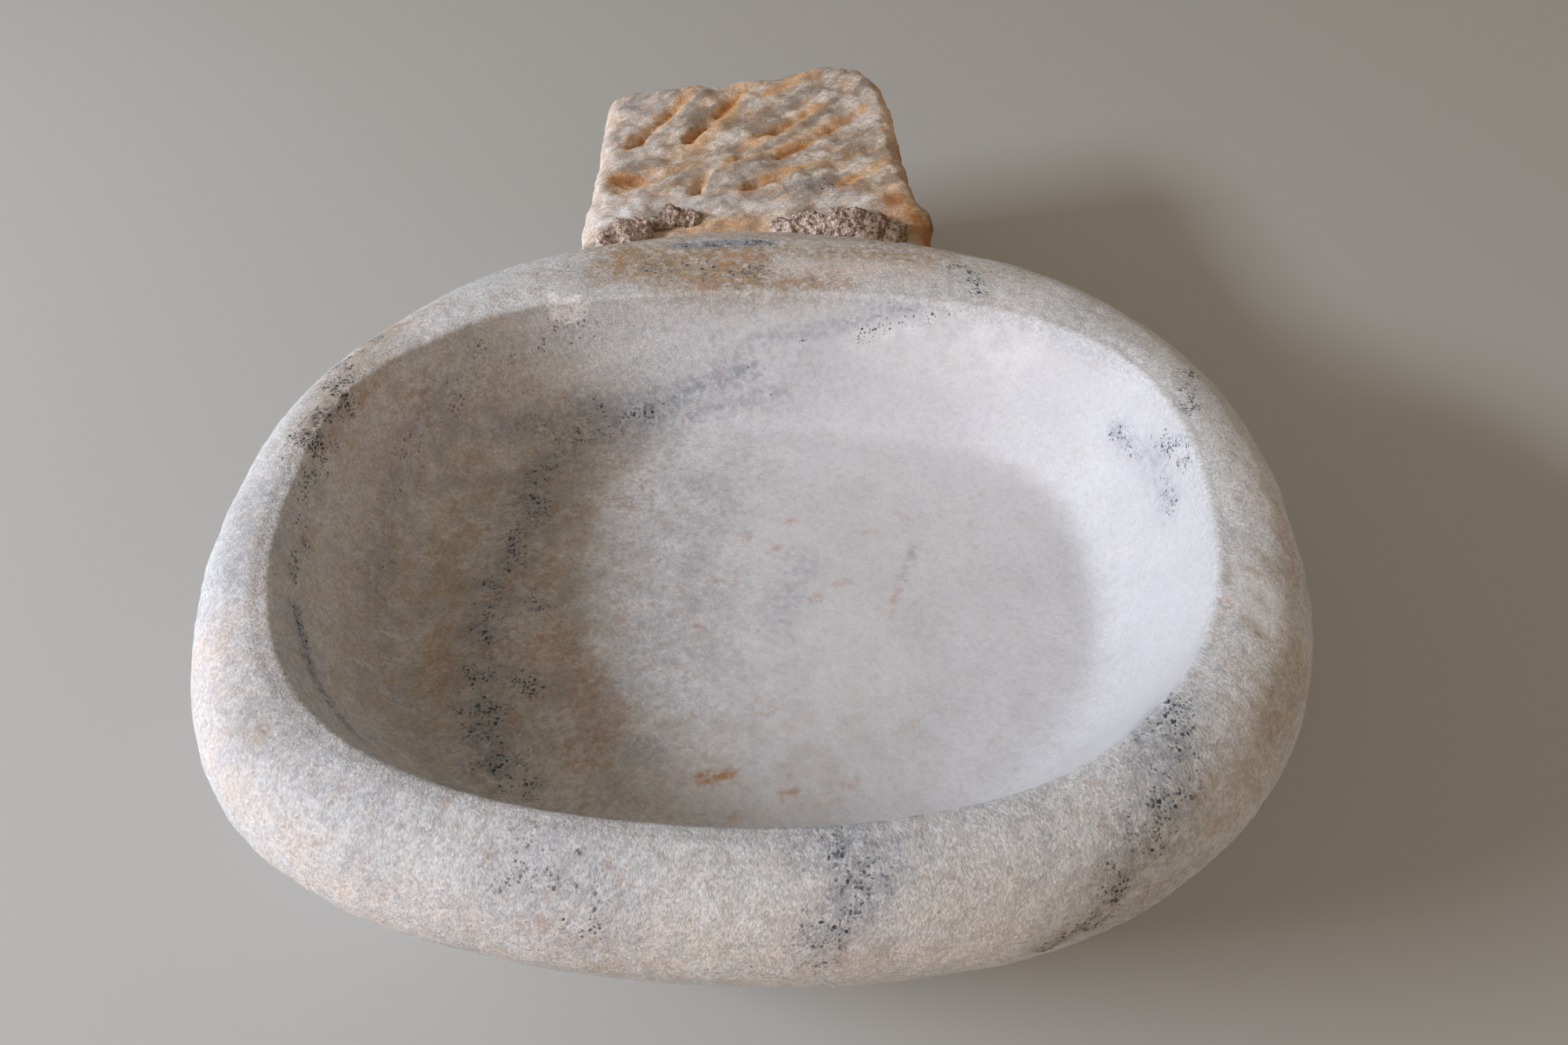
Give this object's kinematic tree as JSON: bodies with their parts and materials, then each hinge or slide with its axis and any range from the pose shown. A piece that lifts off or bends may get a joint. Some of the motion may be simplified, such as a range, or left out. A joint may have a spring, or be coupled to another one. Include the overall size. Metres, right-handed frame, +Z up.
{
  "type": "holy water stoup",
  "caption": "Oval marble wall stoup: a shallow basin with a rolled rim, carved in one block with a rough tail that is built into the wall; old mortar crusts at the tail's root.",
  "frame": {"origin": "centre of the resting face, below the middle of the bowl's widest line", "axes": "+X to the right as seen from the front, +Y from the bowl to the tail and the wall, +Z up"},
  "size_m": [0.48, 0.6503, 0.155],
  "materials": {
    "marble": "worn, coarse crystalline white marble, matt",
    "mortar": "old lime mortar, crumbly, matt"
  },
  "bodies": {
    "root": {"stoup_stone": "marble", "mortar_crust_left": "mortar", "mortar_crust_middle": "mortar", "mortar_crust_right": "mortar"}
  },
  "joints": []
}
